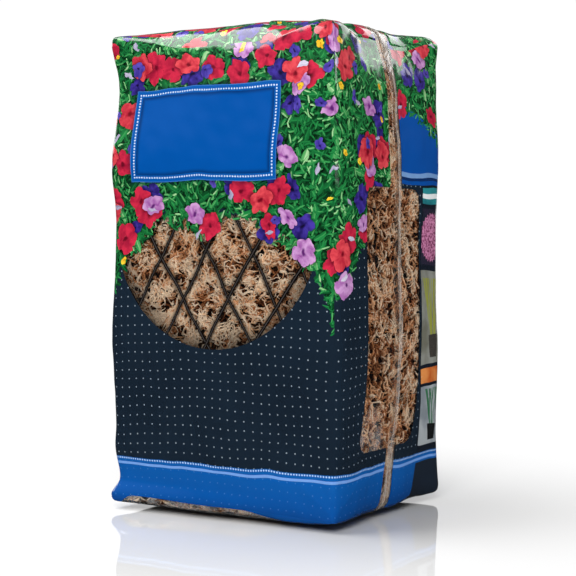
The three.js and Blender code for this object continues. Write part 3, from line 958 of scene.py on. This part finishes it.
def seam_lap():
    """The band where the film's two edges lie over each other: under the base, up the wall, onto the top."""
    under = np.linspace((SEAM_UNDER_X + 4) / HALF[0], 1, LAP_ROWS_UNDER)[:-1]
    up_wall = np.linspace(-1, 1, LAP_ROWS)
    over_top = np.linspace(1, (SEAM_END_X - TUCK) / HALF[0], LAP_ROWS_TOP)[1:]
    path_x = np.concatenate([under, np.ones(len(up_wall)), over_top])
    path_z = np.concatenate([-np.ones(len(under)), up_wall, np.ones(len(over_top))])
    share = np.linspace(-1, 1, LAP_COLUMNS)
    middle = along(SEAM_LINE, MIDDLE + path_z * HALF[2]) + 0.4 * np.sin(path_z * 19)
    y = middle[:, None] + share * LAP_HALF_WIDTH
    shape = np.ones_like(y)
    directions = np.stack([path_x[:, None] * shape, y / HALF[1], path_z[:, None] * shape], axis=2)
    length = MIDDLE + path_z * HALF[2] + (1 - path_x) * HALF[0]
    run = np.stack([length[:, None] * shape, y, 0 * y], axis=2)
    pleats = ripples((run * [1, 0.35, 1]).reshape(-1, 3), 15, 60).reshape(y.shape)
    fine = ripples((run * [1, 1.6, 1]).reshape(-1, 3), 6, 61).reshape(y.shape)
    lift = np.interp(share, [-1, -0.6, 0.6, 1], [LAP_EDGE, LAP_RISE, LAP_RISE * 0.8, LAP_REST]) * shape
    lift += 0.28 * pleats + 0.1 * fine
    lift[:, 0] = FILM_GAP
    coordinates = np.stack([share * shape, run[..., 0]], axis=2)
    return grid_object("film_seam_lap", directions, np.maximum(lift, FILM_GAP), coordinates)


RIB_PITCH = 2.2
RIPPLE_PITCH, RIPPLE_RISE = 34, 0.2
FOLD_START = WALL_HIGH + 90  # how far up the film the folds' middle is


def top_sheet(name, corners, lift, seed, ribs=0.0, columns=60, rows=36):
    """A flap that lies on the top, between four corners given as (x, y)."""
    s, t = np.meshgrid(np.linspace(0, 1, columns), np.linspace(0, 1, rows))
    a, b, c, d = [np.array(corner, float) for corner in corners]
    spot = lerp(lerp(a, b, s[..., None]), lerp(d, c, s[..., None]), t[..., None])
    directions = np.dstack([spot / HALF[:2], np.ones(s.shape)])
    place = np.dstack([spot, np.zeros(s.shape)]).reshape(-1, 3)
    height = lift + RIPPLE_RISE * ripples(place, RIPPLE_PITCH, seed).reshape(s.shape)
    height = height + ribs * np.sin(spot[..., 0] * 2 * math.pi / RIB_PITCH)
    rim = np.minimum(np.minimum(s, 1 - s) * columns, np.minimum(t, 1 - t) * rows) < 0.5
    height = np.where(rim, FILM_GAP, np.maximum(height, 3 * FILM_GAP))
    return grid_object(name, directions, height, spot + [0, FOLD_START])


FIN_LEFT, FIN_RIGHT, FIN_HALF = 26, 48, 55
FLAP_X, FLAP_HALF = 80, 68  # where the flaps start at the walls
STRIP_FRONT, STRIP_REAR = -9, 12  # the seam's strip, between the two halves of the right flap


def folded_top():
    """The top's folds: a flap from the left and one from the right, and the crimped seal over their join."""
    front, rear = (FIN_LEFT, -FIN_HALF), (FIN_LEFT, FIN_HALF)
    left = [(-FLAP_X, -FLAP_HALF), front, rear, (-FLAP_X, FLAP_HALF)]
    right_front = [front, (FLAP_X, -FLAP_HALF), (FLAP_X, STRIP_FRONT), (FIN_LEFT, STRIP_FRONT)]
    right_rear = [(FIN_LEFT, STRIP_REAR), (FLAP_X, STRIP_REAR), (FLAP_X, FLAP_HALF), rear]
    fin = [front, (FIN_RIGHT, -FIN_HALF), (FIN_RIGHT, FIN_HALF), rear]
    return [
        top_sheet("film_flap_left", left, 0.3, 14),
        top_sheet("film_flap_right", right_front, 0.5, 15),
        top_sheet("film_flap_rear", right_rear, 0.5, 14),
        top_sheet("film_top_seal", fin, 0.95, 13, ribs=0.22, columns=90),
    ]


# ---- the moss ----

STEPS, SIDES = 6, 3  # points along a strand and round it
LENGTHS, THINNEST, THICKEST = (6, 17), 0.36, 1.3
CRUMB_SHARE, CRUMB_LENGTHS = 0.25, (2.5, 6)  # short broken bits among the strands
TUFT_SHARE, TUFT_STRANDS, TUFT_SPREAD, TUFT_LENGTH = 0.3, 9, 1.6, 0.6  # shorter strands that grow in tufts
# The bed's dark and the crown's light tone are painted shade: a strand's tone is made darker the deeper it
# lies.
BED, CROWN = (2.5, 6), (0, 1.5)  # how deep the dark bed of strands and the light ones on it lie
RIM = 6  # how far past a window's edge strands start
# Painted light: how much paler the moss's tone is made on a side, to stand in for the light that side gets,
# and how much more for each millimetre across it.
PAINTED_SIDE_LIGHT = {"front": (0.09, 0), "left": (0.05, 0), "right": (-0.06, 0.0016)}


def wall_directions(side, across, up):
    """Directions to points of a face given in millimetres across and up from its middle."""
    half_across, half_up = [HALF["xyz".index(axis)] for axis in FACES[side][:2]]
    return np.stack(FACES[side][2](across / half_across, up / half_up, np.ones_like(across)), axis=1)


def moss_strands(name, side, count, layers, across, up, seed, inside=None):
    """A tangle of curled strands pressed against the film of one face, over the stretch across and up
    (millimetres from the face's middle)."""
    random = np.random.default_rng(seed)
    a = random.uniform(*across, count)
    b = random.uniform(*up, count)
    if layers is CROWN:
        clumps = ripples(np.stack([a, b, 0 * a], axis=1), 9, seed + 4)
        kept = random.uniform(0, 1, count) < 0.6 + 1.1 * clumps
        a, b = a[kept], b[kept]
    if inside is not None:
        kept = inside(block(wall_directions(side, a, b))) < RIM
        a, b = a[kept], b[kept]
    count = len(a)
    crumb = random.uniform(0, 1, count) < CRUMB_SHARE
    length = np.where(crumb, random.uniform(*CRUMB_LENGTHS, count), random.uniform(*LENGTHS, count))
    tufts = np.flatnonzero(random.uniform(0, 1, count) < TUFT_SHARE)
    hearts = random.integers(0, count, max(1, len(tufts) // TUFT_STRANDS))
    heart = hearts[random.integers(0, len(hearts), len(tufts))]
    a[tufts] = a[heart] + random.normal(0, TUFT_SPREAD, len(tufts))
    b[tufts] = b[heart] + random.normal(0, TUFT_SPREAD, len(tufts))
    length[tufts] *= TUFT_LENGTH
    place = np.stack([a, b, np.zeros(count)], axis=1)
    t = np.linspace(0, 1, STEPS)
    stream = ripples(place, 70, seed + 1) * 1.5 + ripples(place, 27, seed + 5) * 0.9
    heading = stream + random.normal(0, 0.55, count) + random.integers(0, 2, count) * math.pi
    heading[tufts] = random.uniform(0, 2 * math.pi, len(tufts))
    curl = random.normal(0, 1.6, count)[:, None]
    wiggle = random.uniform(0.3, 1.4, count)[:, None]
    phase = random.uniform(0, 2 * math.pi, count)[:, None]
    turns = random.uniform(0.6, 1.6, count)[:, None]
    angle = heading[:, None] + curl * (t - 0.5) + wiggle * np.sin(2 * math.pi * turns * t + phase)
    step = length[:, None] / (STEPS - 1)
    run_a = np.cumsum(np.cos(angle) * step, axis=1)
    run_b = np.cumsum(np.sin(angle) * step, axis=1)
    path_a = a[:, None] + run_a - run_a.mean(axis=1, keepdims=True)
    path_b = b[:, None] + run_b - run_b.mean(axis=1, keepdims=True)
    radius = lerp(THINNEST, THICKEST, random.beta(1.7, 2.6, count))
    layer = random.uniform(*layers, count)
    hollow = np.clip(ripples(place, 10, seed + 2) - 0.35, 0, 1) * 4.5
    lift = random.uniform(0.3, 2.0, count)[:, None] * (2 * t - 1) ** 2
    sway = np.sin(2 * math.pi * t * 1.3 + phase * 2) * random.uniform(0.1, 0.6, count)[:, None]
    under_film = radius[:, None] * 0.8
    depth = np.maximum(under_film + (layer + hollow)[:, None] + lift + sway, under_film + 0.2)
    # painted shade: strands that lie deeper, and strands in hollows, are given a darker tone
    tone = 0.67 + 0.5 * random.beta(2, 1.8, count) - 0.18 * layer - 0.14 * hollow
    tone += 0.14 * ripples(place, 20, seed + 3) + 0.08 * ripples(place, 45, seed + 6)
    # painted light: each side's moss is made paler or darker for the light that side gets
    side_light, side_light_slope = PAINTED_SIDE_LIGHT.get(side, (0, 0))
    tone += side_light + side_light_slope * a
    return strand_mesh(name, side, path_a, path_b, depth, radius, tone, random)


def strand_mesh(name, side, path_a, path_b, depth, radius, tone, random):
    """Tapered, flattened and twisted tubes along the paths, at those depths under the film."""
    count = len(path_a)
    directions = wall_directions(side, path_a.ravel(), path_b.ravel())
    centre = film(directions, depth.ravel()).reshape(count, STEPS, 3)
    normal = outward(block, directions, BLOCK_STEP).reshape(count, STEPS, 3)
    forward = np.gradient(centre, axis=1)
    across = unit(np.cross(forward, normal))
    out = unit(np.cross(across, forward))
    t = np.linspace(0, 1, STEPS)
    taper = 0.35 + 0.65 * np.sin(math.pi * np.clip(t, 0.04, 0.96)) ** 0.5
    flatness = random.uniform(0.35, 0.9, count)[:, None]
    twist = random.uniform(0, 2 * math.pi, count)[:, None] + t * random.normal(0, 2.5, count)[:, None]
    width = radius[:, None] * taper * (1 + 0.25 * np.sin(t * 14 + twist))
    turn_cos, turn_sin = np.cos(twist * 0.4), np.sin(twist * 0.4)
    rings = []
    for angle in 2 * math.pi * np.arange(SIDES) / SIDES:
        flat_a, flat_b = np.cos(angle) * width, np.sin(angle) * width * flatness
        turned_a = flat_a * turn_cos - flat_b * turn_sin
        turned_b = flat_a * turn_sin + flat_b * turn_cos
        rings.append(centre + across * turned_a[..., None] + out * turned_b[..., None])
    points = np.stack(rings, axis=2).reshape(-1, 3)
    ring = np.arange(count)[:, None, None] * STEPS * SIDES + np.arange(STEPS - 1)[:, None] * SIDES
    side_a = np.arange(SIDES)
    side_b = (side_a + 1) % SIDES
    corners = [ring + side_a, ring + side_b, ring + SIDES + side_b, ring + SIDES + side_a]
    faces = np.stack(corners, axis=-1).reshape(-1, 4).tolist()
    made = make_object(name, points, [tuple(face) for face in faces])
    # painted shade: each strand's tone darkens towards its ends, where they dip deeper, with a faint ripple
    # along it
    shade = tone[:, None] - 0.12 * (2 * t - 1) ** 2 + 0.05 * np.sin(t * 9 + twist)
    set_tone_and_shade(made, np.repeat(shade, SIDES))
    return made


def set_tone_and_shade(made, values):
    attribute = made.data.attributes.new("tone", "FLOAT", "POINT")
    attribute.data.foreach_set("value", values.astype(np.float32))


def moss_core(name):
    """The lumpy mass behind the strands, all round, with a near-black tone as painted shade in the gaps
    between them.
    """
    parts = []
    for side in FACES:
        directions, shape = face_directions(side, coarser=2)
        parts.append((directions, np.zeros((len(directions), 2)), quads(*shape)))
    directions, _, faces = joined(parts)
    flat = block(directions)
    points = film(directions, 6.2 + 1.2 * ripples(flat, 13, 40) + 0.8 * ripples(flat, 6, 41))
    made = make_object(name, points, faces)
    # painted shade: the core is near black so that the gaps between the strands read as deep shade
    set_tone_and_shade(made, 0.02 + 0.05 * ripples(points, 5, 42))
    return made


# ---- everything in its place ----

DESIGNS = {
    "film_print_front": front_design,
    "film_print_right": right_design,
    "film_print_back": back_design,
    "film_print_left": left_design,
    "film_print_top": top_design,
    "film_print_base": base_design,
}


def dress(piece, material, node):
    piece.data.materials.append(material)
    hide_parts(node)


film_pieces = build_film()
clear = make_material("clear_film", clear_film)
window = make_material("printed_window", clear_film, window_print)
for piece_name, piece in film_pieces.items():
    if piece_name in DESIGNS:
        print_material = make_material(piece_name, printed_film, DESIGNS[piece_name])
        dress(piece, print_material, "film_print")
    else:
        dress(piece, window if piece_name == "film_window_front" else clear, piece_name)

top_print = film_pieces["film_print_top"].data.materials[0]
for piece in folded_top():
    dress(piece, top_print, "film_print")
dress(seam_lap(), make_material("sealed_film", sealed_film), "film_window_right")

moss = make_material("dried_moss", dried_stems)
FRONT_STRETCH = ((-88, 84), (WINDOW_TOP - WINDOW_DROP - 8 - MIDDLE, WINDOW_TOP + 8 - MIDDLE))
SIDE_STRETCH = ((SIDE_FRONT - 14, SIDE_BACK + RIM), (SIDE_LOW - RIM - MIDDLE, SIDE_HIGH + RIM - MIDDLE))
SEAM_ACROSS = (-10, 13)
dress(moss_core("moss_core"), moss, "moss_bale")
# Each tangle: name, face, strands, layer, stretch across and up, seed, window.
for tangle in (
    ("moss_front_bed", "front", 4800, BED, *FRONT_STRETCH, 100, front_window),
    ("moss_front", "front", 9000, CROWN, *FRONT_STRETCH, 130, front_window),
    ("moss_right_bed", "right", 2900, BED, *SIDE_STRETCH, 200),
    ("moss_right", "right", 6500, CROWN, *SIDE_STRETCH, 230),
    ("moss_left_bed", "left", 2400, BED, *SIDE_STRETCH, 300),
    ("moss_left", "left", 5400, CROWN, *SIDE_STRETCH, 330),
    ("moss_seam", "right", 1500, CROWN, SEAM_ACROSS, (SIDE_HIGH - MIDDLE, 150), 400),
    ("moss_seam_top", "top", 260, CROWN, (SEAM_END_X - TUCK, 84), SEAM_ACROSS, 450),
    ("moss_seam_low", "right", 600, CROWN, (-20, 10), (-150, SIDE_LOW - MIDDLE), 500),
    ("moss_base", "base", 3200, CROWN, (-84, 84), (-72, 72), 600),
):
    dress(moss_strands(*tangle), moss, "moss_bale")

# ---- floor, lights and camera, whose places and sizes are in metres ----

FLOOR_RADIUS, FLOOR_SIDES = 0.85, 96
RIM_START, RIM_END = 0.08, FLOOR_RADIUS * 0.43  # where the floor turns white
SEEN, FELT = 1.02, 0.1  # the room's brightness behind the object, and as light on it
MIRRORED_LOW, MIRRORED_HIGH = 0.02, 0.15  # as mirrored, near the horizon and overhead
WHITE = (1, 1, 1, 1)


def floor_surface(tree):
    """Pale, polished floor that turns into the white of the backdrop towards its rim."""
    place = add_node(tree, "TexCoord", output="Object")
    x, y, _ = place.split()
    colour = place.noise(3.0, 2.0).blend((0.82, 0.82, 0.82, 1), (0.86, 0.86, 0.86, 1))
    polished = place.node("BsdfPrincipled", {"Base Color": colour, "Roughness": 0.02, "IOR": 1.9})
    white = add_node(tree, "Emission", {"Color": WHITE, "Strength": SEEN})
    return ((x * x + y * y) ** 0.5).fade(RIM_START, RIM_END).layer(polished, white)


def backdrop_surface(tree):
    return add_node(tree, "Emission", {"Color": WHITE, "Strength": 1.05})


def stage_sheet(name, corners, surface):
    """A flat piece of the stage, outside the object."""
    mesh = bpy.data.meshes.new(name)
    mesh.from_pydata(corners, [], [range(len(corners))])
    mesh.materials.append(make_material(name, surface))
    sheet = placed(name, mesh)
    return sheet


def build_floor():
    turns = [2 * math.pi * i / FLOOR_SIDES for i in range(FLOOR_SIDES)]
    corners = [(FLOOR_RADIUS * math.cos(turn), FLOOR_RADIUS * math.sin(turn), 0) for turn in turns]
    floor = stage_sheet("floor", corners, floor_surface)
    floor.rotation_euler = (0, 0, math.pi)  # turns the floor's grain
    floor.visible_glossy = False  # as in a dark studio, the film mirrors the softboxes and little else
    return floor


def build_backdrop(width, height, place):
    """An upright panel that faces the middle of the stage."""
    across = Vector((place[1], -place[0], 0)).normalized() * (width / 2)
    foot, head = Vector((*place, 0)), Vector((*place, height))
    stage_sheet("backdrop", [foot - across, foot + across, head + across, head - across], backdrop_surface)


def area_light(name, place, aim_height, size, power, size_y=None):
    """A softbox that is turned towards that height over the middle of the stage."""
    light = bpy.data.lights.new(name, "AREA")
    light.shape = "RECTANGLE"
    light.size = size
    light.size_y = size_y or size
    light.energy = power
    return placed(name, light, place, Vector((0, 0, aim_height)) - Vector(place))


def keep_off(lamp, piece):
    """Keeps a lamp's light, and its image, off a piece."""
    receivers = bpy.data.collections.new(lamp.name + "_receivers")
    receivers.objects.link(piece)
    receivers.collection_objects[0].light_linking.link_state = "EXCLUDE"
    lamp.light_linking.receiver_collection = receivers


def build_world():
    """A white room that is dark where the upright film would mirror it."""
    world = bpy.data.worlds.new("studio")
    world.use_nodes = True
    tree = world.node_tree
    tree.nodes.clear()
    height = add_node(tree, "TexCoord", output="Generated").split()[2]
    camera, glossy = add_node(tree, "LightPath", output=("Is Camera Ray", "Is Glossy Ray"))
    mirrored = height.fade(0.1, 0.35, MIRRORED_LOW, MIRRORED_HIGH)
    strength = glossy * mirrored + (1 - glossy) * FELT
    strength = camera * SEEN + (1 - camera) * strength
    room = add_node(tree, "Background", {"Color": WHITE, "Strength": strength})
    room.node("OutputWorld", {"Surface": room}, ())
    bpy.context.scene.world = world


# The camera, from the perspective of the bag's edges in the photo. The pixels are the photo's.
PHOTO_WIDTH_PIXELS, FOCAL_LENGTH_PIXELS, HORIZON_RISE_PIXELS = 576, 1412, 43
CAMERA_PLACE = (0.48884, -0.78928, 0.17072)
CAMERA_AZIMUTH = math.radians(31.4)
CAMERA_PITCH = math.atan(HORIZON_RISE_PIXELS / FOCAL_LENGTH_PIXELS)
CAMERA_SENSOR = 36  # millimetres
CAMERA_LENS = CAMERA_SENSOR * FOCAL_LENGTH_PIXELS / PHOTO_WIDTH_PIXELS


def build_camera():
    camera = bpy.data.cameras.new("camera")
    camera.lens = CAMERA_LENS
    camera.sensor_width = CAMERA_SENSOR
    camera.clip_start, camera.clip_end = 0.05, 30
    level = math.cos(CAMERA_PITCH)
    towards = (-math.sin(CAMERA_AZIMUTH) * level, math.cos(CAMERA_AZIMUTH) * level, -math.sin(CAMERA_PITCH))
    bpy.context.scene.camera = placed("camera", camera, CAMERA_PLACE, Vector(towards))


floor = build_floor()
build_backdrop(2.6, 0.6, (-1.1, 1.9))
build_world()
key = area_light("key", (0.7, -1.6, 1.3), 0.15, 1.1, 37)
key.visible_glossy = False  # it would burn out in the film's mirror
right_fill = area_light("right_fill", (1.7, -0.2, 0.9), 0.15, 0.9, 12)
left_fill = area_light("left_fill", (-1.7, 0.4, 0.9), 0.15, 0.9, 9)
area_light("top_softbox", (-0.5, -0.3, 1.2), 0.25, 0.8, 14)
back_softbox = area_light("back_softbox", (0.3, 1.5, 1.0), 0.3, 1.2, 5, 0.45)
for lamp in (right_fill, left_fill, back_softbox):
    keep_off(lamp, floor)  # whose polish would mirror them
build_camera()
bpy.context.scene.view_settings.view_transform = "Standard"
